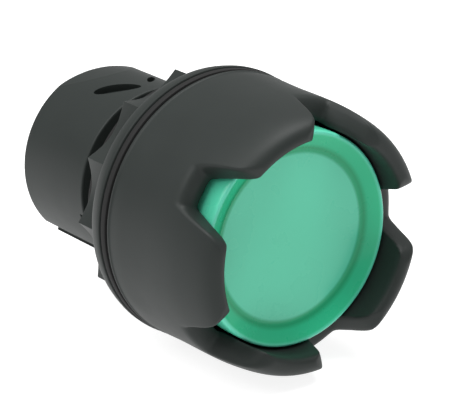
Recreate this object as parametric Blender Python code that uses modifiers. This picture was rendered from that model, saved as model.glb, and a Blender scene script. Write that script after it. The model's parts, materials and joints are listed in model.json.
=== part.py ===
"""Guarded illuminated push-button head for a 22.5 mm panel hole.

Every piece is modelled about one axis, local +Z, which points from the panel towards the
finger. The empty "press_axis" turns that axis to world -Y, so the button faces -Y and +Z is up.
Local Z = 0 is the panel's front face, where the panel gasket seats. Sizes are in millimetres,
and MM turns them into metres where a mesh is made. Clock angles run from +X towards +Z.
"""

import math

import bmesh
import bpy
from mathutils import Matrix, Vector

MM = 0.001

# Standard interface: a 22.5 mm hole takes a 22 mm barrel.
BARREL_R = 11.0
SLEEVE_BORE_R = 9.5
NECK_R = 9.2
NECK_BORE_R = 7.4
BARREL_REAR_Z = -16.6
SLEEVE_FRONT_Z = -4.1

# Flange and panel seal.
FLANGE_REAR_Z = 5.0
FLANGE_FRONT_Z = 7.15
FLANGE_R = 16.2
COLLAR_R = 13.2
COLLAR_BORE_R = 12.3
GASKET_T = 0.6
CARRIER_REAR_Z = 0.8
CARRIER_FRONT_Z = 4.75
CARRIER_BORE_R = 9.5
LOBES = 12
LOBE_R = 14.45
SCALLOP_R = 13.2
LOBE_CLOCK = 4.0

# Details of the rear barrel. The latch ramp is a shallow rounded taper at the rear end.
RAMP_CLOCK = 92.5
RAMP_REAR_R = 10.55
RAMP_CURVE_R = 15.0
RAMP_TILT_DEG = 3.9
SLOT_Z = -8.25
SLOT_CLOCK_STEP = 13.0
SLOT_LEAN_DEG = 47.0
ASSEMBLY_NOTCH_CLOCK = 197.0
FLAT_CLOCKS = (216.0, 234.0)
FLAT_DEPTH = 0.42

# Castellated guard, and the soft ring between it and the flange.
GUARD_GASKET_Z = (7.3, 8.15)
GUARD_REAR_Z = 8.35
GUARD_TIP_Z = 26.6
GUARD_BORE_R = 13.45
PETALS = 5
NOTCH_CLOCK = 3.1
NOTCH_FLOOR_Z = 19.4
NOTCH_FLOOR_HALF = 1.15
NOTCH_FLOOR_FILLET = 1.6
NOTCH_FLANK_DEG = 12.0
PETAL_TIP_FILLET = 1.5

# Button.
LENS_R = 12.65
LENS_RIM_Z = 22.7
LENS_DISC_R = 10.2
LENS_DISC_Z = 21.5
LENS_SKIRT_Z = 16.6
LENS_INNER_R = 11.35
LENS_INNER_Z = 19.9
INSERT_R = 10.9
CUP_R = 11.05
STOP_R = 11.9
TUBE_R = 6.9
STEM_R = 5.0
STEM_BORE_R = 3.9
STEM_REAR_Z = -15.3
SHOULDER_Z = 4.0
CLIP_GROOVE_R = 4.5
CLIP_GROOVE_Z = (-12.6, -13.3)
FLARE_REAR_Z = 14.2
FLARE_FRONT_Z = 16.4
GUIDE_GAP = 0.25
PUSHER_OFFSET = 6.7
PUSHER_R = 1.35

# Return spring.
SPRING_R = 6.15
SPRING_WIRE_R = 0.42
SPRING_TURNS = 5.5
SPRING_REAR_Z = -6.3
SPRING_FRONT_Z = 2.5

# Running clearance between the stem and its bush, and facets of turned pieces.
RUNNING_GAP = 0.08
FINE = 60
MEDIUM = 36
COARSE = 28

MERGE = 1e-6
SHARP_ANGLE = math.radians(30)

BLACK = (0.045, 0.050, 0.048)
RUBBER = (0.020, 0.021, 0.021)
GREEN = (0.10, 0.50, 0.33)
OPAL = (0.86, 0.88, 0.86)
CLEAR = (0.80, 0.86, 0.84)
WHITE = (0.78, 0.79, 0.77)
STEEL = (0.55, 0.56, 0.57)


def clear_scene():
    for found in list(bpy.data.objects):
        bpy.data.objects.remove(found, do_unlink=True)


def new_collection(name):
    made = bpy.data.collections.new(name)
    bpy.context.scene.collection.children.link(made)
    return made


def new_material(name, colour, roughness, metallic=0.0):
    material = bpy.data.materials.new(name)
    material.use_nodes = True
    shader = material.node_tree.nodes["Principled BSDF"]
    shader.inputs["Base Color"].default_value = (*colour, 1.0)
    shader.inputs["Roughness"].default_value = roughness
    shader.inputs["Metallic"].default_value = metallic
    return material


def place(name, mesh, home, parent):
    made = bpy.data.objects.new(name, mesh)
    home.objects.link(made)
    made.parent = parent
    return made


def finish(piece, look):
    colour, roughness, metallic = look
    piece.data.materials.append(new_material(piece.name, colour, roughness, metallic))
    piece.data.shade_smooth()
    piece.data.set_sharp_from_angle(angle=SHARP_ANGLE)


def turned(name, profile, steps, home, parent, closed=True):
    """A profile of (radius, height) points turned about local Z.

    The points run down the outer side from the top, and back up the bore. An open profile
    starts and ends on the axis.
    """
    mesh = bpy.data.meshes.new(name)
    edges = [(i, i + 1) for i in range(len(profile) - 1)]
    if closed:
        edges.append((len(profile) - 1, 0))
    mesh.from_pydata([(r * MM, 0.0, z * MM) for r, z in profile], edges, [])
    piece = place(name, mesh, home, parent)
    screw = piece.modifiers.new("turn", "SCREW")
    screw.axis = "Z"
    screw.angle = math.tau
    screw.steps = steps
    screw.render_steps = steps
    screw.use_merge_vertices = True
    screw.merge_threshold = MERGE
    screw.use_smooth_shade = True
    return piece


def prism(name, outline, low, high, home, parent, to_place=None):
    """A closed outline in local XY raised from height low to height high, then placed."""
    shape = bmesh.new()
    base = [shape.verts.new((x * MM, y * MM, low * MM)) for x, y in outline]
    face = shape.faces.new(base)
    raised = bmesh.ops.extrude_face_region(shape, geom=[face])
    moved = [v for v in raised["geom"] if isinstance(v, bmesh.types.BMVert)]
    bmesh.ops.translate(shape, verts=moved, vec=(0, 0, (high - low) * MM))
    if to_place is not None:
        bmesh.ops.transform(shape, matrix=to_place, verts=shape.verts)
    bmesh.ops.recalc_face_normals(shape, faces=shape.faces)
    mesh = bpy.data.meshes.new(name)
    shape.to_mesh(mesh)
    shape.free()
    return place(name, mesh, home, parent)


def cut(piece, cutter, operation="DIFFERENCE"):
    cutter.hide_render = True
    cutter.display_type = "WIRE"
    boolean = piece.modifiers.new(cutter.name, "BOOLEAN")
    boolean.operation = operation
    boolean.object = cutter
    boolean.solver = "EXACT"


def arc(centre, radius, start_deg, end_deg, count):
    points = []
    for i in range(count + 1):
        angle = math.radians(start_deg + (end_deg - start_deg) * i / count)
        points.append((centre[0] + radius * math.cos(angle), centre[1] + radius * math.sin(angle)))
    return points


def radial_frame(clock_deg):
    """Local X across, local Y along the button's axis, local Z outwards at a clock angle."""
    clock = math.radians(clock_deg)
    outwards = Vector((math.cos(clock), math.sin(clock), 0))
    along = Vector((0, 0, 1))
    across = along.cross(outwards)
    return Matrix((across, along, outwards)).transposed().to_4x4()


def notch_outline():
    """One gap between two petals: filleted floor, sloping flanks, rounded petal corners."""
    flank = math.radians(NOTCH_FLANK_DEG)
    floor_centre = (NOTCH_FLOOR_HALF, NOTCH_FLOOR_Z + NOTCH_FLOOR_FILLET)
    right = arc(floor_centre, NOTCH_FLOOR_FILLET, -90, -NOTCH_FLANK_DEG, 4)
    foot_x, foot_z = right[-1]
    tip_centre_z = GUARD_TIP_Z - PETAL_TIP_FILLET
    flank_end_z = tip_centre_z + PETAL_TIP_FILLET * math.sin(flank)
    flank_end_x = foot_x + (flank_end_z - foot_z) * math.tan(flank)
    tip_centre = (flank_end_x + PETAL_TIP_FILLET * math.cos(flank), tip_centre_z)
    right += arc(tip_centre, PETAL_TIP_FILLET, 180 - NOTCH_FLANK_DEG, 108, 4)
    last_x, last_z = right[-1]
    right.append((last_x + 4.0, last_z + 1.6))
    left = [(-x, z) for x, z in reversed(right)]
    return left + right


def make_guard_ring(parts, cutters, axis):
    """Barrel-shaped shroud with five petals whose thick tips roll inwards over the lens."""
    profile = [
        (13.4, GUARD_TIP_Z), (13.95, 26.45), (14.5, 26.0), (14.92, 25.3), (15.3, 24.0),
        (15.58, 22.0), (15.76, 20.1), (15.82, 17.5), (15.8, 14.5), (15.86, 11.8), (15.98, 9.8),
        (15.98, 9.0), (16.08, 8.9), (16.05, 8.5), (15.9, GUARD_REAR_Z),
        (GUARD_BORE_R, GUARD_REAR_Z), (GUARD_BORE_R, 11.5), (12.95, 11.7), (12.95, 12.2),
        (GUARD_BORE_R, 12.6), (GUARD_BORE_R, 24.2), (12.95, 25.2), (12.75, 25.8),
        (12.78, 26.2), (13.0, 26.5),
    ]
    guard = turned("guard_ring", profile, FINE, parts, axis)
    outline = notch_outline()
    for i in range(PETALS):
        clock = NOTCH_CLOCK + 360.0 / PETALS * i
        cutter = prism(f"notch_{i + 1}", outline, 9.0, 20.0, cutters, axis, radial_frame(clock))
        cut(guard, cutter)
    finish(guard, (BLACK, 0.45, 0.0))


def make_guard_gasket(parts, axis):
    rear, front = GUARD_GASKET_Z
    profile = [(16.1, front), (16.1, rear), (13.5, rear), (13.5, front)]
    finish(turned("guard_gasket", profile, FINE, parts, axis), (RUBBER, 0.7, 0.0))


def make_housing(parts, axis):
    """Flange, collar that carries the guard, seal pocket, and the neck through the panel."""
    profile = [
        (13.0, 11.2), (COLLAR_R, 11.0), (COLLAR_R, FLANGE_FRONT_Z), (16.1, FLANGE_FRONT_Z),
        (FLANGE_R, 7.0), (16.15, 6.4), (15.84, 5.35), (15.6, FLANGE_REAR_Z),
        (NECK_R, FLANGE_REAR_Z), (NECK_R, -15.4), (9.0, -15.6), (8.4, -15.6),
        (8.4, -10.9), (NECK_BORE_R, -10.9), (NECK_BORE_R, 5.9), (9.0, 5.9),
        (9.0, 9.0), (COLLAR_BORE_R, 9.0), (COLLAR_BORE_R, 11.2),
    ]
    finish(turned("housing", profile, FINE, parts, axis), (BLACK, 0.45, 0.0))


def lobed_outline(lobe_r, scallop_r, points_per_lobe):
    """A ring of shallow finger scallops between corners."""
    outline = []
    half = 180.0 / LOBES
    for i in range(LOBES * points_per_lobe):
        turn = 360.0 / (LOBES * points_per_lobe) * i
        from_middle = (turn % (2 * half) - half) / half
        radius = scallop_r + (lobe_r - scallop_r) * from_middle**2
        angle = math.radians(LOBE_CLOCK + turn)
        outline.append((radius * math.cos(angle), radius * math.sin(angle)))
    return outline


def make_seal_carrier(parts, cutters, axis):
    """Scalloped ring that spreads the clamping force behind the flange."""
    outline = lobed_outline(LOBE_R, SCALLOP_R, 6)
    ring = prism("seal_carrier", outline, CARRIER_REAR_Z, CARRIER_FRONT_Z, parts, axis)
    bore_profile = [(0, 6), (CARRIER_BORE_R, 6), (CARRIER_BORE_R, -1), (0, -1)]
    bore = turned("carrier_bore", bore_profile, FINE, cutters, axis, closed=False)
    cut(ring, bore)
    finish(ring, (BLACK, 0.5, 0.0))


def make_panel_gasket(parts, axis):
    profile = [(12.9, GASKET_T), (12.9, 0.0), (CARRIER_BORE_R, 0.0), (CARRIER_BORE_R, GASKET_T)]
    finish(turned("panel_gasket", profile, FINE, parts, axis), (RUBBER, 0.75, 0.0))


def spindle_outline(length, width):
    """A slot that comes to a point at both ends."""
    half = length / 2
    upper = [(-half, 0), (-half / 2, width * 0.38), (0, width / 2), (half / 2, width * 0.38)]
    return [(-x, -z) for x, z in upper] + upper


def cut_latch_ramp(sleeve, cutters, axis):
    """Take away what lies outside a wide cylinder that dips towards the rear end."""
    outline = arc((0, -RAMP_CURVE_R), RAMP_CURVE_R, 50, 130, 16) + [(-10, 3), (10, 3)]
    to_place = (
        Matrix.Rotation(math.radians(RAMP_CLOCK - 90), 4, "Z")
        @ Matrix.Translation((0, RAMP_REAR_R * MM, BARREL_REAR_Z * MM))
        @ Matrix.Rotation(math.radians(-RAMP_TILT_DEG), 4, "X")
    )
    cut(sleeve, prism("latch_ramp", outline, -2, 11, cutters, axis, to_place))


def cut_bayonet_slot(sleeve, name, side, length, width, cutters, axis):
    """A pointed slot beside the ramp that leans towards the other one."""
    lean = Matrix.Rotation(math.radians(-side * SLOT_LEAN_DEG), 4, "Z")
    lifted = Matrix.Translation((0, SLOT_Z * MM, 0))
    to_place = radial_frame(RAMP_CLOCK + side * SLOT_CLOCK_STEP) @ lifted @ lean
    slot = spindle_outline(length, width)
    cut(sleeve, prism(name, slot, 10.1, 12.5, cutters, axis, to_place))


def cut_locating_flat(sleeve, cutters, axis):
    """A long shallow flat that ends in a radial step, which the coupling registers on."""
    start, end = (math.radians(clock) for clock in FLAT_CLOCKS)
    deep_r = BARREL_R - FLAT_DEPTH
    outline = [
        (BARREL_R * math.cos(start), BARREL_R * math.sin(start)),
        (deep_r * math.cos(end), deep_r * math.sin(end)),
        (12 * math.cos(end), 12 * math.sin(end)),
        (12 * math.cos(start), 12 * math.sin(start)),
    ]
    cut(sleeve, prism("locating_flat", outline, -18, -3, cutters, axis))


def make_coupling_sleeve(parts, cutters, axis):
    """Smooth rear barrel with the latch ramp, two bayonet slots, a notch and a flat."""
    profile = [
        (10.8, SLEEVE_FRONT_Z), (BARREL_R, SLEEVE_FRONT_Z - 0.2), (BARREL_R, -16.45),
        (10.85, BARREL_REAR_Z), (8.8, BARREL_REAR_Z), (8.8, -15.9), (SLEEVE_BORE_R, -15.9),
        (SLEEVE_BORE_R, SLEEVE_FRONT_Z),
    ]
    sleeve = turned("coupling_sleeve", profile, FINE, parts, axis)
    cut_latch_ramp(sleeve, cutters, axis)
    cut_bayonet_slot(sleeve, "bayonet_slot_left", 1, 5.6, 2.1, cutters, axis)
    cut_bayonet_slot(sleeve, "bayonet_slot_right", -1, 3.4, 0.9, cutters, axis)
    outline = [(-0.6, -5.0), (0.6, -5.0), (0.6, -3.5), (-0.6, -3.5)]
    to_place = radial_frame(ASSEMBLY_NOTCH_CLOCK)
    cut(sleeve, prism("assembly_notch", outline, 9.9, 12.5, cutters, axis, to_place))
    cut_locating_flat(sleeve, cutters, axis)
    finish(sleeve, (BLACK, 0.45, 0.0))


def make_lens_cap(parts, axis):
    """Dished translucent cap: flat disc, conical wall up to the rim, straight skirt."""
    profile = [
        (0, LENS_DISC_Z), (LENS_DISC_R, LENS_DISC_Z), (12.25, 22.62), (12.4, LENS_RIM_Z),
        (12.58, 22.62), (LENS_R, 22.4), (LENS_R, LENS_SKIRT_Z), (LENS_INNER_R, LENS_SKIRT_Z),
        (LENS_INNER_R, LENS_INNER_Z), (0, LENS_INNER_Z),
    ]
    lens = turned("lens_cap", profile, FINE, parts, axis, closed=False)
    finish(lens, (GREEN, 0.2, 0.0))


def make_ring_of_round_section(name, ring_r, section_r, height, parts, axis, look):
    profile = arc((ring_r, height), section_r, 90, -270 + 45, 7)
    finish(turned(name, profile, MEDIUM, parts, axis), look)


def make_inserts(parts, axis):
    """Blank legend plate and opal diffuser, stacked under the lens."""
    legend = [(0, 19.6), (INSERT_R, 19.6), (INSERT_R, 18.9), (0, 18.9)]
    opal = [(0, 18.6), (INSERT_R, 18.6), (INSERT_R, 17.9), (0, 17.9)]
    legend_plate = turned("legend_plate", legend, MEDIUM, parts, axis, closed=False)
    finish(legend_plate, (CLEAR, 0.15, 0.0))
    diffuser = turned("diffuser_disc", opal, MEDIUM, parts, axis, closed=False)
    finish(diffuser, (OPAL, 0.5, 0.0))


def make_plunger(parts, axis):
    """Cup that carries the lens, stop flange, sealing tube and long stem, in one moulding."""
    groove_front, groove_rear = CLIP_GROOVE_Z
    profile = [
        (CUP_R, 17.6), (CUP_R, 15.4), (STOP_R, 15.4), (STOP_R, 14.6), (TUBE_R, 14.6),
        (TUBE_R, SHOULDER_Z), (STEM_R, SHOULDER_Z), (STEM_R, groove_front),
        (CLIP_GROOVE_R, groove_front), (CLIP_GROOVE_R, groove_rear), (STEM_R, groove_rear),
        (STEM_R, STEM_REAR_Z), (STEM_BORE_R, STEM_REAR_Z), (STEM_BORE_R, FLARE_REAR_Z),
        (9.9, FLARE_FRONT_Z), (9.9, 17.6),
    ]
    finish(turned("plunger", profile, MEDIUM, parts, axis), (WHITE, 0.5, 0.0))


def make_light_guide(parts, axis):
    """Clear rod that flares under the diffuser."""
    rod_r = STEM_BORE_R - 0.2
    profile = [
        (0, 17.2), (9.6, 17.2), (9.6, FLARE_FRONT_Z + GUIDE_GAP), (rod_r, FLARE_REAR_Z + GUIDE_GAP),
        (rod_r, -14.8), (0, -14.8),
    ]
    guide = turned("light_guide", profile, MEDIUM, parts, axis, closed=False)
    finish(guide, (CLEAR, 0.1, 0.0))


def make_wiper_seal(parts, axis):
    """Rubber bead in the housing with a lip that wipes the plunger's tube."""
    profile = [(8.8, 7.3), (8.8, 6.1), (7.5, 6.1), (7.05, 7.0), (7.05, 9.6), (7.5, 9.6), (7.75, 7.3)]
    finish(turned("wiper_seal", profile, MEDIUM, parts, axis), (RUBBER, 0.7, 0.0))


def make_seal_retainer(parts, axis):
    profile = [(12.1, 9.9), (12.1, 9.2), (8.8, 9.2), (8.8, 7.5), (8.0, 7.5), (8.0, 9.9)]
    finish(turned("seal_retainer", profile, MEDIUM, parts, axis), (BLACK, 0.5, 0.0))


def make_return_spring(parts, axis):
    """Open helix between the two washers, one point every 30 degrees."""
    curve = bpy.data.curves.new("return_spring", "CURVE")
    curve.dimensions = "3D"
    curve.bevel_depth = SPRING_WIRE_R * MM
    curve.bevel_resolution = 2
    curve.use_fill_caps = True
    count = int(SPRING_TURNS * 12) + 1
    line = curve.splines.new("POLY")
    line.points.add(count - 1)
    for i in range(count):
        share = i / (count - 1)
        angle = share * SPRING_TURNS * math.tau
        height = SPRING_REAR_Z + (SPRING_FRONT_Z - SPRING_REAR_Z) * share
        x = SPRING_R * math.cos(angle)
        y = SPRING_R * math.sin(angle)
        line.points[i].co = (x * MM, y * MM, height * MM, 1)
    place("return_spring", curve, parts, axis)
    curve.materials.append(new_material("return_spring", STEEL, 0.3, 1.0))


def make_washer(name, outer_r, inner_r, high, low, parts, axis, look):
    profile = [(outer_r, high), (outer_r, low), (inner_r, low), (inner_r, high)]
    finish(turned(name, profile, MEDIUM, parts, axis), look)


def make_guide_bush(parts, axis):
    """Flanged bush that guides the stem at the rear of the neck."""
    bore = STEM_R + RUNNING_GAP
    profile = [
        (7.1, -7.7), (7.1, -11.2), (8.2, -11.2), (8.2, -11.8), (bore, -11.8), (bore, -7.7),
    ]
    finish(turned("guide_bush", profile, MEDIUM, parts, axis), (WHITE, 0.5, 0.0))


def make_open_ring(name, outer_r, inner_r, high, low, gap_clock, gap, parts, cutters, axis):
    """A flat spring-steel ring with a gap, so it can be squeezed into its groove."""
    profile = [(outer_r, high), (outer_r, low), (inner_r, low), (inner_r, high)]
    ring = turned(name, profile, COARSE, parts, axis)
    outline = [(-gap / 2, low - 1), (gap / 2, low - 1), (gap / 2, high + 1), (-gap / 2, high + 1)]
    place_gap = radial_frame(gap_clock)
    cutter = prism(name + "_gap", outline, inner_r - 2, outer_r + 2, cutters, axis, place_gap)
    cut(ring, cutter)
    finish(ring, (STEEL, 0.35, 1.0))


def make_pusher_yoke(parts, cutters, axis):
    """Plate on the stem's end, with one seat for each pusher."""
    half_width = 6.4
    reach = 8.2
    round_end = arc((reach - half_width, 0), half_width, -90, 90, 12)
    outline = round_end + [(-x, -y) for x, y in round_end]
    yoke = prism("pusher_yoke", outline, -15.0, -13.9, parts, axis)
    bore_r = STEM_R + 0.2
    bore_profile = [(0, -12), (bore_r, -12), (bore_r, -17), (0, -17)]
    cut(yoke, turned("yoke_bore", bore_profile, MEDIUM, cutters, axis, closed=False))
    for side in (-1, 1):
        seat_profile = [(0, -12), (0.8, -12), (0.8, -17), (0, -17)]
        seat = turned(f"yoke_seat_{side + 2}", seat_profile, 16, cutters, axis, closed=False)
        seat.location.x = side * PUSHER_OFFSET * MM
        cut(yoke, seat)
    finish(yoke, (WHITE, 0.5, 0.0))


def make_pushers(parts, axis):
    """Two feet that press the contact blocks, each plugged into the yoke."""
    profile = [
        (0, -13.4), (0.6, -13.4), (0.6, -15.2), (PUSHER_R, -15.2), (PUSHER_R, -16.1),
        (1.0, -16.4), (0, -16.4),
    ]
    for name, side in (("pusher_left", -1), ("pusher_right", 1)):
        foot = turned(name, profile, 20, parts, axis, closed=False)
        foot.location.x = side * PUSHER_OFFSET * MM
        finish(foot, (WHITE, 0.4, 0.0))


def main():
    clear_scene()
    parts = new_collection("guarded_push_button_head")
    cutters = new_collection("cutters")
    cutters.hide_render = True
    axis = bpy.data.objects.new("press_axis", None)
    axis.rotation_euler = (math.pi / 2, 0, 0)
    parts.objects.link(axis)

    make_guard_ring(parts, cutters, axis)
    make_guard_gasket(parts, axis)
    make_housing(parts, axis)
    make_seal_carrier(parts, cutters, axis)
    make_panel_gasket(parts, axis)
    make_coupling_sleeve(parts, cutters, axis)
    make_lens_cap(parts, axis)
    rubber = (RUBBER, 0.7, 0.0)
    make_ring_of_round_section("lens_seal", 11.62, 0.38, 15.95, parts, axis, rubber)
    make_inserts(parts, axis)
    make_plunger(parts, axis)
    make_light_guide(parts, axis)
    make_wiper_seal(parts, axis)
    make_seal_retainer(parts, axis)
    make_return_spring(parts, axis)
    steel = (STEEL, 0.35, 1.0)
    make_washer("spring_cup", 7.0, 5.3, 3.7, 3.2, parts, axis, steel)
    make_washer("spring_seat", 7.1, 5.3, -6.95, -7.45, parts, axis, steel)
    make_guide_bush(parts, axis)
    make_open_ring("bush_snap_ring", 8.2, 7.3, -12.05, -12.55, 90, 2.0, parts, cutters, axis)
    make_washer("stop_buffer", 6.9, 5.25, -12.05, -12.5, parts, axis, rubber)
    make_open_ring("plunger_clip", 6.7, 4.7, -12.7, -13.2, 270, 5.0, parts, cutters, axis)
    make_pusher_yoke(parts, cutters, axis)
    make_pushers(parts, axis)


main()
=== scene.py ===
# %% [markdown]
# # A guarded, illuminated push-button head
#
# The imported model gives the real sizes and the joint. This file gives the looks: every piece that
# can be seen gets a fine mesh or a finish of its own. The button faces -Y and Z is up. Sizes are
# written in millimetres, and a height is the distance in front of the panel, so it runs along -Y.

import json
import math

import bpy
from mathutils import Matrix, Vector


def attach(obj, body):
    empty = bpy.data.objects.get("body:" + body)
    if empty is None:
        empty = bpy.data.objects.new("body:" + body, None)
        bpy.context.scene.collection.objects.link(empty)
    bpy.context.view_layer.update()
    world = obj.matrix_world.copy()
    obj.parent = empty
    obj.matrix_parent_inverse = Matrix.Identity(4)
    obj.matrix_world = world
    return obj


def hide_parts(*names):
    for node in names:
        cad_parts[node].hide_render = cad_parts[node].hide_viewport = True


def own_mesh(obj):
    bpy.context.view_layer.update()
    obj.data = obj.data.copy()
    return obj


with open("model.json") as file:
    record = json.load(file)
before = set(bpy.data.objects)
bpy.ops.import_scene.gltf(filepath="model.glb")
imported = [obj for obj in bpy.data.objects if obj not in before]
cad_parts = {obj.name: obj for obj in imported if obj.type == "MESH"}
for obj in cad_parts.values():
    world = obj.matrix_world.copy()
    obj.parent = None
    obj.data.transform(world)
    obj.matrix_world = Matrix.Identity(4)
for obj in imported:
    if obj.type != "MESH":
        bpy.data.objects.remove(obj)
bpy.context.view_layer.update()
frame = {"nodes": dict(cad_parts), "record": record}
nodes = frame["nodes"]
MM = 0.001

# %% [markdown]
# ## The camera
#
# A long lens from a little above and to the left. It could be aimed with a constraint, but a
# direction turned into a rotation once is simpler and needs nothing to be kept in the file.

# %% Place the camera
CAMERA_SIDE = math.radians(-36.75)
CAMERA_RISE = math.radians(19.90)
CAMERA_REACH = 290.6 * MM
AIM = Vector((-0.147, -9.358, -0.244)) * MM
LENS = 201.84


def direction_to(side, rise):
    flat = math.cos(rise)
    return Vector((math.sin(side) * flat, -math.cos(side) * flat, math.sin(rise)))


camera_data = bpy.data.cameras.new("view")
camera_data.lens = LENS
camera_data.sensor_width = 36
camera_data.clip_start = 0.01
camera = bpy.data.objects.new("view", camera_data)
bpy.context.scene.collection.objects.link(camera)
camera.location = AIM + CAMERA_REACH * direction_to(CAMERA_SIDE, CAMERA_RISE)
camera.rotation_euler = (AIM - camera.location).to_track_quat("-Z", "Y").to_euler()
bpy.context.scene.camera = camera
print("camera at", [round(v / MM, 1) for v in camera.location])

# %% [markdown]
# ## Floor and light
#
# A pale floor under the guard and large soft lamps, as in a small product studio. Large lamps
# blur every shadow edge and give the black plastic broad, quiet highlights.

# %% Make the floor and the lamps
FLOOR_DROP = -16.4 * MM
FLOOR_SIZE = 6.0


def new_material(name):
    material = bpy.data.materials.new(name)
    material.use_nodes = True
    return material, material.node_tree.nodes, material.node_tree.links


def nothing_selected():
    if bpy.context.object and bpy.context.object.mode != "OBJECT":
        bpy.ops.object.mode_set(mode="OBJECT")
    bpy.ops.object.select_all(action="DESELECT")


nothing_selected()
bpy.ops.mesh.primitive_plane_add(size=FLOOR_SIZE, location=(0, 0, FLOOR_DROP))
floor = bpy.context.object
floor.name = "floor"
floor_material, floor_nodes, floor_links = new_material("floor_paper")
floor_shader = floor_nodes["Principled BSDF"]
floor_shader.inputs["Base Color"].default_value = (0.4, 0.4, 0.4, 1)
floor_shader.inputs["Roughness"].default_value = 0.9
floor_shader.inputs["Specular IOR Level"].default_value = 0.1
floor_shader.inputs["Emission Color"].default_value = (1, 1, 1, 1)
floor_shader.inputs["Emission Strength"].default_value = 0.85
floor.data.materials.append(floor_material)


def soft_lamp(name, side, rise, reach, width, power):
    data = bpy.data.lights.new(name, "AREA")
    data.shape = "DISK"
    data.size = width
    data.energy = power
    lamp = bpy.data.objects.new(name, data)
    bpy.context.scene.collection.objects.link(lamp)
    lamp.location = reach * direction_to(math.radians(side), math.radians(rise))
    lamp.rotation_euler = (-lamp.location).to_track_quat("-Z", "Y").to_euler()
    return lamp


soft_lamp("overhead", 60, 78, 0.5, 0.4, 2.6)
soft_lamp("left_fill", -100, 52, 0.5, 0.4, 1.6)
world = bpy.data.worlds.new("studio")
world.use_nodes = True
world.node_tree.nodes["Background"].inputs["Color"].default_value = (1, 1, 1, 1)
world.node_tree.nodes["Background"].inputs["Strength"].default_value = 0.5
bpy.context.scene.world = world
bpy.context.scene.view_settings.view_transform = "Standard"
print("lamps:", len(bpy.data.lights), "floor at", FLOOR_DROP / MM, "mm")

# %% [markdown]
# ## Finishes
#
# Each finish is built from noise on Object coordinates, so it keeps its real scale on every
# piece. Moulded plastic is never quite even: spark-eroded tools leave a fine grain, and handling
# polishes it here and there.

# %% Moulded plastics and rubber


def grained(name, colour, roughness, grain_mm, depth_mm, cloud=0.12):
    """A moulded surface with fine grain, and slow changes of colour and gloss."""
    material, parts, wires = new_material(name)
    shader = parts["Principled BSDF"]
    place = parts.new("ShaderNodeTexCoord")
    grain = parts.new("ShaderNodeTexNoise")
    grain.inputs["Scale"].default_value = 1 / (grain_mm * MM)
    grain.inputs["Detail"].default_value = 3
    slow = parts.new("ShaderNodeTexNoise")
    slow.inputs["Scale"].default_value = 180
    slow.inputs["Detail"].default_value = 4
    bump = parts.new("ShaderNodeBump")
    bump.inputs["Strength"].default_value = 0.35
    bump.inputs["Distance"].default_value = depth_mm * MM
    tint = parts.new("ShaderNodeMapRange")
    tint.inputs["To Min"].default_value = 1 - cloud
    tint.inputs["To Max"].default_value = 1 + cloud
    gloss = parts.new("ShaderNodeMapRange")
    gloss.inputs["To Min"].default_value = roughness - 0.07
    gloss.inputs["To Max"].default_value = roughness + 0.07
    mix = parts.new("ShaderNodeVectorMath")
    mix.operation = "SCALE"
    mix.inputs[0].default_value = colour
    wires.new(place.outputs["Object"], grain.inputs["Vector"])
    wires.new(place.outputs["Object"], slow.inputs["Vector"])
    wires.new(grain.outputs["Fac"], bump.inputs["Height"])
    wires.new(bump.outputs["Normal"], shader.inputs["Normal"])
    wires.new(slow.outputs["Fac"], tint.inputs["Value"])
    wires.new(slow.outputs["Fac"], gloss.inputs["Value"])
    wires.new(tint.outputs["Result"], mix.inputs["Scale"])
    wires.new(mix.outputs["Vector"], shader.inputs["Base Color"])
    wires.new(gloss.outputs["Result"], shader.inputs["Roughness"])
    shader.inputs["Specular IOR Level"].default_value = 0.22
    return material


black_plastic = grained("black_moulded_plastic", (0.0165, 0.0205, 0.019), 0.5, 0.22, 0.012)
seal_rubber = grained("seal_rubber", (0.012, 0.012, 0.012), 0.7, 0.35, 0.02)
white_plastic = grained("natural_plastic", (0.68, 0.68, 0.64), 0.5, 0.3, 0.01, 0.05)
opal_plastic = grained("opal_plastic", (0.85, 0.87, 0.85), 0.45, 0.3, 0.005, 0.03)
steel = grained("spring_steel", (0.55, 0.56, 0.57), 0.3, 0.2, 0.004, 0.05)
steel.node_tree.nodes["Principled BSDF"].inputs["Metallic"].default_value = 1.0

# %% [markdown]
# ## The green lens
#
# The real lens is one translucent moulding. Its flat middle looks milky and bright where the lit
# diffuser shines through it, the step around the middle lies in shade, and the rounded rim catches
# the light. This finish only stands in for that: it is opaque, and a colour ramp driven by the
# distance from the axis paints the bands, the lens's own green with painted light in the middle,
# painted shade along the step, and a painted highlight on the rim and skirt. True transmission
# would be closer to the real part, but needs the layers behind the lens, which can't be seen.

# %% Green lens
# Distances from the button's axis, in mm, and the colour of the lens there.
# The colours paint light and shade into the lens's green: a lighter middle for light from the
# diffuser behind, painted shade at the step from 9.95 to 10.4 mm, and a painted highlight on the
# rim and skirt from 12.3 mm outwards.
LENS_GREEN_AND_PAINTED_LIGHT = [
    (0.0, (0.088, 0.500, 0.325)), (9.6, (0.092, 0.515, 0.340)), (9.95, (0.010, 0.310, 0.145)),
    (10.4, (0.003, 0.250, 0.105)), (10.9, (0.014, 0.390, 0.195)), (12.0, (0.018, 0.420, 0.210)),
    (12.3, (0.090, 0.560, 0.380)), (12.5, (0.120, 0.600, 0.430)), (12.62, (0.080, 0.560, 0.360)),
]
LENS_REACH = 13.0


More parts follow.
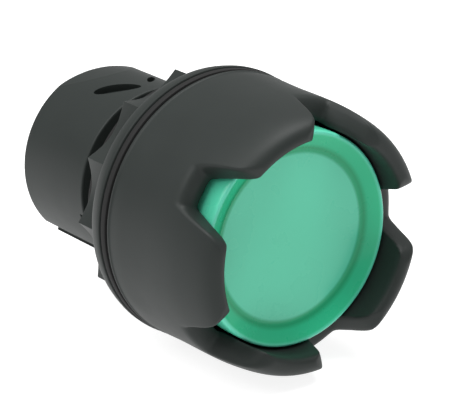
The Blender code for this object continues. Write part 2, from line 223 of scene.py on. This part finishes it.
def lens_colour_and_painted_light():
    """An opaque green in bands around the axis, standing in for a translucent moulding; the bands
    paint its light, shade and highlight.
    """
    material = grained("green_lens", (1, 1, 1), 0.28, 0.3, 0.003, 0.03)
    parts, wires = material.node_tree.nodes, material.node_tree.links
    shader = parts["Principled BSDF"]
    place = parts.new("ShaderNodeTexCoord")
    flat = parts.new("ShaderNodeVectorMath")
    flat.operation = "MULTIPLY"
    flat.inputs[1].default_value = (1, 0, 1)
    reach = parts.new("ShaderNodeVectorMath")
    reach.operation = "LENGTH"
    share = parts.new("ShaderNodeMapRange")
    share.inputs["From Max"].default_value = LENS_REACH * MM
    # The ramp paints light and shade into the green by distance from the axis: painted light in the
    # middle, painted shade at the step, a painted highlight on the rim.
    ramp = parts.new("ShaderNodeValToRGB")
    stops = ramp.color_ramp.elements
    while len(stops) < len(LENS_GREEN_AND_PAINTED_LIGHT):
        stops.new(0.5)
    for stop, (r, colour) in zip(stops, LENS_GREEN_AND_PAINTED_LIGHT):
        stop.position = r / LENS_REACH
        stop.color = (*colour, 1)
    clouds = next(link.from_node for link in wires if link.to_node == shader
                  and link.to_socket.name == "Base Color")
    wires.new(place.outputs["Object"], flat.inputs[0])
    wires.new(flat.outputs["Vector"], reach.inputs[0])
    wires.new(reach.outputs["Value"], share.inputs["Value"])
    wires.new(share.outputs["Result"], ramp.inputs["Fac"])
    wires.new(ramp.outputs["Color"], clouds.inputs[0])
    shader.inputs["Coat Weight"].default_value = 0.15
    return material


green_lens = lens_colour_and_painted_light()

# %% [markdown]
# ## Clear plastic
#
# The light guide and the blank legend plate are clear mouldings. Transmission with the refraction
# of acrylic shows them as solid and clear, where a see-through mix would look like thin film.

# %% Clear plastic
clear_plastic = grained("clear_plastic", (0.86, 0.92, 0.90), 0.16, 0.3, 0.002, 0.02)
clear_shader = clear_plastic.node_tree.nodes["Principled BSDF"]
ACRYLIC_IOR = 1.49
clear_shader.inputs["Transmission Weight"].default_value = 0.85
clear_shader.inputs["IOR"].default_value = ACRYLIC_IOR
print("lens bands:", len(LENS_GREEN_AND_PAINTED_LIGHT))

# %% [markdown]
# ## Which node gets which finish
#
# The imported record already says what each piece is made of. Reading it here is safer than typing
# the list again, because a renamed node can't be missed.

# %% Give every node its finish
FINISH_OF_SLOT = {
    "black_plastic": black_plastic,
    "black_rubber": seal_rubber,
    "green_lens": green_lens,
    "clear_plastic": clear_plastic,
    "opal_plastic": opal_plastic,
    "white_plastic": white_plastic,
    "steel": steel,
}
BODIES = frame["record"]["behaviour"]["bodies"]
SLOT_OF_NODE = {entry["node"]: entry["material_slot"] for entry in frame["record"]["subparts"]}
for node, slot in SLOT_OF_NODE.items():
    nodes[node].data.materials.clear()
    nodes[node].data.materials.append(FINISH_OF_SLOT[slot])
print("finishes on", len(nodes), "nodes")

# %% [markdown]
# ## Ways of working
#
# Round pieces start as a chain of points that is spun about the button's axis, the way a lathe
# works. The guard starts as a tube of few faces, is shaped row by row, and is then smoothed by
# subdivision. Pulling a coarse cage is quicker to correct than pushing a dense mesh about.

# %% Helpers for modelling
FULL_TURN = math.tau
MERGE = 1e-6
AXIS_CENTRE = (0, 0, 0)


def edit(piece):
    nothing_selected()
    bpy.context.view_layer.objects.active = piece
    piece.select_set(True)
    bpy.ops.object.mode_set(mode="EDIT")
    bpy.ops.mesh.select_all(action="DESELECT")


def object_mode():
    bpy.ops.object.mode_set(mode="OBJECT")


def select_points(piece, wanted):
    """Select the points for which wanted(radius, height, clock) is true. Sizes in mm, degrees."""
    bpy.ops.mesh.select_mode(type="VERT")
    bpy.ops.mesh.select_all(action="DESELECT")
    object_mode()
    for point in piece.data.vertices:
        x, y, z = point.co / MM
        clock = math.degrees(math.atan2(z, x)) % 360
        point.select = bool(wanted(math.hypot(x, z), -y, clock))
    bpy.ops.object.mode_set(mode="EDIT")


def apply_all(piece):
    nothing_selected()
    bpy.context.view_layer.objects.active = piece
    piece.select_set(True)
    for modifier in list(piece.modifiers):
        bpy.ops.object.modifier_apply(modifier=modifier.name)


def smooth(piece, degrees):
    nothing_selected()
    bpy.context.view_layer.objects.active = piece
    piece.select_set(True)
    bpy.ops.object.shade_smooth_by_angle(angle=math.radians(degrees))


def finish_piece(piece, node):
    """Give the piece its finish, and let it stand in for its CAD node on the same body."""
    body = next(name for name, held in BODIES.items() if node in held)
    piece.data.materials.clear()
    piece.data.materials.append(FINISH_OF_SLOT[SLOT_OF_NODE[node]])
    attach(piece, body)
    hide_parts(node)
    print(node, "on", body, "faces:", len(piece.data.polygons))


def spun(name, profile, steps=144, closed=True):
    """Spin a chain of (radius, height) points about the button's axis."""
    nothing_selected()
    bpy.ops.mesh.primitive_plane_add(size=MM, location=AXIS_CENTRE)
    piece = bpy.context.object
    piece.name = name
    piece.data.name = name
    bpy.ops.object.mode_set(mode="EDIT")
    bpy.ops.mesh.select_mode(type="VERT")
    bpy.ops.mesh.select_all(action="SELECT")
    bpy.ops.mesh.merge(type="CENTER")
    start_r, start_h = profile[0]
    bpy.ops.transform.translate(value=(start_r * MM, -start_h * MM, 0))
    for (r, h), (next_r, next_h) in zip(profile, profile[1:]):
        step = ((next_r - r) * MM, (h - next_h) * MM, 0)
        bpy.ops.mesh.extrude_region_move(TRANSFORM_OT_translate={"value": step})
    if closed:
        end_r, end_h = profile[-1]
        step = ((start_r - end_r) * MM, (end_h - start_h) * MM, 0)
        bpy.ops.mesh.extrude_region_move(TRANSFORM_OT_translate={"value": step})
        bpy.ops.mesh.select_all(action="SELECT")
        bpy.ops.mesh.remove_doubles(threshold=MERGE)
    bpy.ops.mesh.select_all(action="SELECT")
    bpy.ops.mesh.spin(steps=steps, angle=FULL_TURN, center=AXIS_CENTRE, axis=(0, 1, 0))
    bpy.ops.mesh.select_all(action="SELECT")
    bpy.ops.mesh.remove_doubles(threshold=MERGE)
    bpy.ops.mesh.normals_make_consistent(inside=False)
    object_mode()
    smooth(piece, 35)
    return piece


# %% [markdown]
# ## The guard
#
# On the real head the guard is one thick moulding: a barrel-shaped shroud whose five petals roll
# over at the tip, so that a knock slides off and a fingertip still finds the lens. Here a tube of
# 80 columns is raised row by row, ten columns by each gap are taken away, and each gap's outer
# and inner edges are bridged. A Boolean cut would be quicker, but its edges stay knife sharp.

# %% Raise the guard's rows
PETALS = 5
COLUMNS = 80
GAP_CLOCK = 3.1
PERIOD = 360 / PETALS
GAP_FLOOR = 20.1
# Clock angle of each column from the middle of a gap, up to the middle of a petal.
COLUMN_STEPS = (0, 3.0, 5.8, 8.6, 11.6, 16.5, 22.5, 29.0, 36.0)
OUTER_ROWS = [
    (15.55, 8.36), (15.94, 8.37), (16.1, 8.6), (16.1, 8.86), (16.0, 8.95), (15.99, 9.2),
    (16.02, 10.2), (15.92, 12.2), (15.88, 14.8), (15.9, 17.4), (15.85, GAP_FLOOR), (15.72, 21.6),
    (15.52, 23.3), (15.22, 24.9), (14.75, 26.08), (13.85, 26.64),
]
INNER_ROWS = [
    (13.1, 26.6), (12.7, 26.1), (12.74, 25.3), (12.88, 24.3), (12.92, 22.3), (12.95, 20.4),
    (13.45, 16.0), (13.45, 12.6), (13.0, 12.3), (13.0, 11.6), (13.45, 11.3), (13.45, 8.7),
    (13.5, 8.36),
]
guard_rows = OUTER_ROWS + INNER_ROWS

nothing_selected()
bpy.ops.mesh.primitive_circle_add(
    vertices=COLUMNS, radius=guard_rows[0][0] * MM, location=(0, -guard_rows[0][1] * MM, 0),
    rotation=(math.pi / 2, 0, 0))
guard = bpy.context.object
guard.name = "guard_shell"
guard.data.name = "guard_shell"
bpy.ops.object.transform_apply(location=True, rotation=True, scale=True)
edit(guard)
bpy.ops.mesh.select_all(action="SELECT")
for (r, h), (next_r, next_h) in zip(guard_rows, guard_rows[1:]):
    bpy.ops.mesh.extrude_region_move(TRANSFORM_OT_translate={"value": (0, (h - next_h) * MM, 0)})
    grow = next_r / r
    bpy.ops.transform.resize(value=(grow, 1, grow), center_override=AXIS_CENTRE)
object_mode()
print("guard rows:", len(guard_rows), "points:", len(guard.data.vertices))

# %% [markdown]
# ## Addresses for the guard's points
#
# A petal's flank is a curve that runs across many rows. Points are hard to pick one by one, so
# each gets an address: its row, and its column counted from the middle of the nearest gap. All
# five gaps can then be shaped at once. Vertex groups would do too, but need one group per row.

# %% Name each point by its row and column
EVEN_STEP = 360 / COLUMNS
PERIOD_COLUMNS = COLUMNS // PETALS
half_period = PERIOD_COLUMNS // 2


def polar(point):
    x, y, z = point.co / MM
    return math.hypot(x, z), -y, math.degrees(math.atan2(z, x)) % 360


first_clock = polar(guard.data.vertices[0])[2]
address = []
for point in guard.data.vertices:
    r, h, clock = polar(point)
    row = min(range(len(guard_rows)), key=lambda i: math.dist(guard_rows[i], (r, h)))
    column = round((clock - first_clock) / EVEN_STEP) % PERIOD_COLUMNS
    address.append((row, (column + half_period) % PERIOD_COLUMNS - half_period))


def select_by_address(piece, wanted):
    bpy.ops.mesh.select_mode(type="VERT")
    bpy.ops.mesh.select_all(action="DESELECT")
    object_mode()
    for point, (row, column) in zip(piece.data.vertices, address):
        point.select = bool(wanted(row, column))
    bpy.ops.object.mode_set(mode="EDIT")


def swing(degrees):
    """Turn the selected points about the button's axis, towards a higher clock angle."""
    bpy.ops.transform.rotate(
        value=math.radians(degrees), orient_axis="Y", center_override=AXIS_CENTRE)


# %% [markdown]
# ## The gaps' flanks
#
# On the real guard each gap is narrow at its floor and opens towards the tips. The columns beside
# a gap are turned about the axis, row by row, so that one edge line runs along the flank. That
# keeps the faces square to the edge, which a diagonal cut across the grid would not.

# %% Swing the columns so that they follow the gaps' flanks
FLOOR_ROWS = (OUTER_ROWS.index((15.85, GAP_FLOOR)), len(OUTER_ROWS) + 5)
# How far a gap's edge lies from the gap's middle, in mm, row by row from floor to floor.
EDGE_OFFSETS = (2.36, 2.9, 3.27, 3.62, 4.05, 4.75, 4.7, 3.95, 3.4, 3.05, 2.45, 1.75)
EDGE_COLUMN = 3

edit(guard)
for row, (r, h) in enumerate(guard_rows):
    above = row - FLOOR_ROWS[0]
    edge_clock = COLUMN_STEPS[EDGE_COLUMN]
    if 0 <= above < len(EDGE_OFFSETS):
        edge_clock = math.degrees(math.asin(EDGE_OFFSETS[above] / r))
    for column in range(1, half_period):
        step = COLUMN_STEPS[column]
        if column <= EDGE_COLUMN:
            target = step * edge_clock / COLUMN_STEPS[EDGE_COLUMN]
        else:
            share = (36 - step) / (36 - COLUMN_STEPS[EDGE_COLUMN])
            target = 36 - share * (36 - edge_clock)
        for side in (-1, 1):
            select_by_address(guard, lambda a, c: a == row and c == side * column)
            swing(side * (target - column * EVEN_STEP))
bpy.ops.mesh.select_all(action="SELECT")
swing(GAP_CLOCK - first_clock)
print("gap edges follow", len(EDGE_OFFSETS), "rows")

# %% [markdown]
# ## Open the gaps
#
# The points inside each gap are deleted, which leaves an outer and an inner edge. Bridging the
# two gives the wall of the gap. The tips and the floor corners are moved a little first, because
# the real tool leaves them rounded.

# %% Open the gaps and close their walls
TIP_ROWS = (len(OUTER_ROWS) - 1, len(OUTER_ROWS))
TIP_DROP = 0.22
CORNER_RISE = 0.12
SHARP_ANGLE = math.radians(55)
EDGE_CREASE = 0.32
SHEETS_PART_R = 13.47
select_by_address(guard, lambda a, c: a in TIP_ROWS and abs(c) == EDGE_COLUMN)
bpy.ops.transform.translate(value=(0, TIP_DROP * MM, 0))
select_by_address(guard, lambda a, c: a in FLOOR_ROWS and abs(c) == EDGE_COLUMN)
bpy.ops.transform.translate(value=(0, -CORNER_RISE * MM, 0))
select_by_address(
    guard, lambda a, c: FLOOR_ROWS[0] < a < FLOOR_ROWS[1] and abs(c) < EDGE_COLUMN)
bpy.ops.mesh.delete(type="VERT")

bpy.ops.mesh.select_all(action="DESELECT")
rear = guard_rows[0][1]
select_points(guard, lambda r, h, clock: h < rear + 0.005)
bpy.ops.mesh.bridge_edge_loops()


def on_outer_sheet(r):
    return r > SHEETS_PART_R


def select_gap_walls(piece, gap_clock):
    """Select the open edges of one gap, without the two short ones across the petal tips."""
    bpy.ops.mesh.select_mode(type="EDGE")
    bpy.ops.mesh.select_all(action="DESELECT")
    bpy.ops.mesh.select_non_manifold(extend=False)
    object_mode()
    for side in piece.data.edges:
        ends = [polar(piece.data.vertices[i]) for i in side.vertices]
        away = max(abs((clock - gap_clock + 180) % 360 - 180) for r, h, clock in ends)
        one_sheet = on_outer_sheet(ends[0][0]) == on_outer_sheet(ends[1][0])
        side.select = side.select and one_sheet and away < PERIOD / 2
    bpy.ops.object.mode_set(mode="EDIT")


for gap in range(PETALS):
    select_gap_walls(guard, GAP_CLOCK + gap * PERIOD)
    bpy.ops.mesh.bridge_edge_loops()
bpy.ops.mesh.select_all(action="SELECT")
bpy.ops.mesh.remove_doubles(threshold=MERGE)
bpy.ops.mesh.normals_make_consistent(inside=False)
bpy.ops.mesh.select_mode(type="EDGE")
bpy.ops.mesh.select_all(action="DESELECT")
bpy.ops.mesh.edges_select_sharp(sharpness=SHARP_ANGLE)
bpy.ops.transform.edge_crease(value=EDGE_CREASE)
bpy.ops.mesh.select_all(action="DESELECT")
bpy.ops.mesh.select_non_manifold(extend=False)
object_mode()
print("open edges left:", sum(e.select for e in guard.data.edges))

# %% [markdown]
# ## Smooth the guard
#
# Two levels of subdivision turn the cage into a soft moulding. The partly creased edges stay
# tighter than the rest, like the small radius of a moulding tool.

# %% Smooth the guard
subdivision = guard.modifiers.new("smooth", "SUBSURF")
subdivision.levels = 2
subdivision.render_levels = 2
apply_all(guard)
smooth(guard, 50)
finish_piece(guard, "guard_ring")

# %% [markdown]
# ## Housing, rear barrel and seal carrier
#
# These were turned or moulded as plain round shapes, so a spun chain gives them directly. The
# marks on the barrel, where the coupling latches, are then cut from it with a few cutter blocks.

# %% Spin the housing and the soft rings
housing = spun("housing_body", [
    (13.0, 11.2), (13.2, 11.0), (13.2, 7.15), (16.05, 7.15), (16.17, 7.08), (16.2, 6.95),
    (16.17, 6.5), (16.0, 5.8), (15.86, 5.35), (15.72, 5.1), (15.5, 5.0), (9.2, 5.0),
    (9.2, -15.4), (9.0, -15.6), (8.4, -15.6), (8.4, -10.9), (7.4, -10.9), (7.4, 5.9),
    (9.0, 5.9), (9.0, 9.0), (12.3, 9.0), (12.3, 11.2)])
finish_piece(housing, "housing")

guard_seal = spun("guard_seal", [
    (13.5, 8.15), (15.98, 8.15), (16.06, 8.11), (16.1, 8.0), (16.1, 7.45), (16.06, 7.34),
    (15.98, 7.3), (13.5, 7.3)])
finish_piece(guard_seal, "guard_gasket")

panel_seal = spun("panel_seal", [
    (9.5, 0.6), (12.78, 0.6), (12.88, 0.52), (12.9, 0.45), (12.9, 0.12), (12.86, 0.03),
    (12.78, 0.0), (9.5, 0.0)])
finish_piece(panel_seal, "panel_gasket")

# %% [markdown]
# ## The seal carrier
#
# Behind the flange sits a ring whose rim has twelve hollows, so that fingers or a key can hold
# it while the head is fitted. It is spun with 144 steps, and each column of points is then scaled
# in or left out, which draws the hollows without any cutting.

# %% Spin the seal carrier and press its scallops in
CARRIER_STEPS = 144
LOBES = 12
LOBE_CLOCK = 4.0
LOBE_R = 14.85
SCALLOP_R = 13.2

carrier = spun("seal_carrier_ring", [
    (9.5, 4.75), (LOBE_R - 0.25, 4.75), (LOBE_R - 0.05, 4.66), (LOBE_R, 4.5), (LOBE_R, 1.05),
    (LOBE_R - 0.05, 0.88), (LOBE_R - 0.25, 0.8), (9.5, 0.8)], steps=CARRIER_STEPS)
edit(carrier)
steps_per_lobe = CARRIER_STEPS // LOBES
for step in range(steps_per_lobe):
    from_middle = 2 * step / steps_per_lobe - 1
    shrink = (SCALLOP_R + (LOBE_R - SCALLOP_R) * from_middle**2) / LOBE_R
    select_points(carrier, lambda r, h, clock: r > 12 and round(
        clock * CARRIER_STEPS / 360) % steps_per_lobe == step)
    bpy.ops.transform.resize(value=(shrink, 1, shrink), center_override=AXIS_CENTRE)
bpy.ops.mesh.select_all(action="SELECT")
swing(LOBE_CLOCK)
object_mode()
smooth(carrier, 30)
finish_piece(carrier, "seal_carrier")

# %% [markdown]
# ## The rear barrel
#
# The barrel passes through the panel, and its holder slips over it. It is a plain tube with a
# small lip at its rear end, so it is spun before anything is cut from it.

# %% Spin the rear barrel
barrel = spun("barrel", [
    (9.5, -4.1), (10.8, -4.1), (10.94, -4.16), (11.0, -4.3), (11.0, -16.4), (10.96, -16.54),
    (10.85, -16.6), (8.95, -16.6), (8.84, -16.56), (8.8, -16.45), (8.8, -15.9), (9.5, -15.9)])


def cut_with(piece, cutter, operation="DIFFERENCE"):
    boolean = piece.modifiers.new("cut", "BOOLEAN")
    boolean.operation = operation
    boolean.solver = "EXACT"
    boolean.object = cutter
    apply_all(piece)
    bpy.data.objects.remove(cutter, do_unlink=True)


def outward_frame(clock_deg, height, r, lean_deg):
    """Across, towards the finger, and outwards, at a clock angle on the barrel."""
    clock = math.radians(clock_deg)
    across = Vector((-math.sin(clock), 0, math.cos(clock)))
    outwards = Vector((math.cos(clock), 0, math.sin(clock)))
    turned = Matrix((across, Vector((0, -1, 0)), outwards)).transposed().to_4x4()
    turned.translation = r * outwards * MM - Vector((0, height * MM, 0))
    return turned @ Matrix.Rotation(math.radians(lean_deg), 4, "Z")


# %% [markdown]
# ## Marks on the barrel
#
# There is a shallow ramp with two slanting slots on the top, most likely where the holder slides
# on and latches, and a notch and a shallow flat that probably set which way is up. These are
# crisp, local shapes on a round tube, so Boolean cutters suit them better than pushing points.
# Each cutter is deleted after use.

# %% Cut the latch ramp, the slots, the notch and the flat
BARREL_R = 11.0
BARREL_REAR_Y = 16.6
RAMP_CLOCK = 92.5
RAMP_CURVE_R = 15
RAMP_CENTRE_Z = -4.5
RAMP_TILT = math.radians(90 - 5.6)
SLOT_HEIGHT = -8.25
SLOT_SPREAD = 13
SLOT_LEAN = 47
NOTCH_CLOCK = 197
FLAT_START = math.radians(222.0)
FLAT_END = math.radians(234.0)
FLAT_DEEP_R = 10.58
FLAT_CUTTER = (5, 16, 3)

nothing_selected()
bpy.ops.mesh.primitive_cylinder_add(
    vertices=360, radius=RAMP_CURVE_R * MM, depth=90 * MM,
    location=(0, BARREL_REAR_Y * MM, RAMP_CENTRE_Z * MM), rotation=(RAMP_TILT, 0, 0))
ramp = bpy.context.object
bpy.ops.object.transform_apply(location=True, rotation=True, scale=True)
edit(ramp)
bpy.ops.mesh.select_all(action="SELECT")
swing(RAMP_CLOCK - 90)
object_mode()
cut_with(barrel, ramp, "INTERSECT")

for side, length, width in ((1, 5.9, 2.0), (-1, 3.4, 0.9)):
    place = outward_frame(
        RAMP_CLOCK + side * SLOT_SPREAD, SLOT_HEIGHT, BARREL_R + 0.3, -side * SLOT_LEAN)
    bpy.ops.mesh.primitive_cylinder_add(
        vertices=48, radius=MM / 2, depth=2.4 * MM, location=place.translation,
        rotation=place.to_euler(), scale=(length, width, 1))
    cut_with(barrel, bpy.context.object)

place = outward_frame(NOTCH_CLOCK, -4.2, BARREL_R, 0)
bpy.ops.mesh.primitive_cube_add(
    size=MM, location=place.translation, rotation=place.to_euler(), scale=(1.2, 1.6, 2.2))
cut_with(barrel, bpy.context.object)

# The flat runs in from the barrel's surface and ends in a step at its deep end.
shallow = Vector((BARREL_R * math.cos(FLAT_START), 0, BARREL_R * math.sin(FLAT_START)))
deep = Vector((FLAT_DEEP_R * math.cos(FLAT_END), 0, FLAT_DEEP_R * math.sin(FLAT_END)))
run = (deep - shallow).normalized()
rearwards = Vector((0, 1, 0))
across = run.cross(rearwards)
outwards = across if across.dot(deep) > 0 else -across
middle = deep - FLAT_CUTTER[0] / 2 * run + FLAT_CUTTER[2] / 2 * outwards + 10.35 * rearwards
place = Matrix((run, rearwards, across)).transposed()
bpy.ops.mesh.primitive_cube_add(
    size=MM, location=middle * MM, rotation=place.to_euler(), scale=FLAT_CUTTER)
cut_with(barrel, bpy.context.object)
smooth(barrel, 4)
finish_piece(barrel, "coupling_sleeve")

# %% [markdown]
# ## The lens
#
# A flat middle, a small step, a cone up to a rounded rim, and a skirt that runs down inside the
# guard. The last points of the rim are close together, so the light rolls over it.

# %% Spin the lens
lens = spun("lens_shell", [
    (0, 21.5), (9.8, 21.5), (10.05, 21.52), (10.25, 21.58), (11.95, 22.43), (12.15, 22.56),
    (12.3, 22.62), (12.44, 22.6), (12.55, 22.5), (12.62, 22.3), (12.65, 21.9), (12.65, 16.6),
    (11.35, 16.6), (11.35, 19.9), (0, 19.9)], closed=False)
finish_piece(lens, "lens_cap")

# %% [markdown]
# ## The moving inside
#
# Through the open rear end the plunger's stem, the light guide and the two pushers can be seen.
# They are natural, unpainted plastic. Spinning is again the shortest way to each of them.

# %% Spin the plunger, the light guide and the pushers
plunger = spun("plunger_body", [
    (11.05, 17.6), (11.05, 15.4), (11.9, 15.4), (11.9, 14.6), (6.9, 14.6), (6.9, 4.0),
    (5.0, 4.0), (5.0, -12.6), (4.5, -12.6), (4.5, -13.3), (5.0, -13.3), (5.0, -15.2),
    (4.9, -15.3), (4.0, -15.3), (3.9, -15.2), (3.9, 14.2), (9.9, 16.4), (9.9, 17.6)], steps=96)
finish_piece(plunger, "plunger")

guide = spun("light_guide_rod", [
    (0, 17.2), (9.5, 17.2), (9.6, 17.1), (9.6, 16.65), (3.7, 14.45), (3.7, -14.65), (3.55, -14.8),
    (0, -14.8)], steps=96, closed=False)
finish_piece(guide, "light_guide")

PUSHER_REACH = 6.7
for node, side in (("pusher_left", -1), ("pusher_right", 1)):
    foot = spun(node + "_foot", [
        (0, -13.4), (0.5, -13.4), (0.6, -13.5), (0.6, -15.2), (1.25, -15.2), (1.35, -15.3),
        (1.35, -16.05), (1.25, -16.28), (1.0, -16.4), (0, -16.4)], steps=48, closed=False)
    edit(foot)
    bpy.ops.mesh.select_all(action="SELECT")
    bpy.ops.transform.translate(value=(side * PUSHER_REACH * MM, 0, 0))
    object_mode()
    finish_piece(foot, node)

# %% [markdown]
# ## The return spring
#
# The spring lifts the button again after each press. Its wire is a circle that the Screw modifier
# carries round the axis and along it, which is how a spring is wound.

# %% Wind the return spring
SPRING_R = 6.15
WIRE_R = 0.42
SPRING_REAR = -6.3
SPRING_FRONT = 2.5
SPRING_TURNS = 5.5

nothing_selected()
bpy.ops.mesh.primitive_circle_add(
    vertices=16, radius=WIRE_R * MM, location=(SPRING_R * MM, -SPRING_REAR * MM, 0))
spring = bpy.context.object
spring.name = "spring_coil"
spring.data.name = "spring_coil"
bpy.ops.object.transform_apply(location=True, rotation=True, scale=True)
winding = spring.modifiers.new("winding", "SCREW")
winding.axis = "Y"
winding.angle = SPRING_TURNS * FULL_TURN
winding.screw_offset = (SPRING_REAR - SPRING_FRONT) * MM
winding.steps = round(SPRING_TURNS * 48)
winding.render_steps = winding.steps
apply_all(spring)
edit(spring)
bpy.ops.mesh.select_mode(type="EDGE")
bpy.ops.mesh.select_non_manifold(extend=False)
bpy.ops.mesh.fill_holes(sides=0)
bpy.ops.mesh.select_all(action="SELECT")
bpy.ops.mesh.normals_make_consistent(inside=False)
object_mode()
smooth(spring, 50)
finish_piece(spring, "return_spring")
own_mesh(spring)
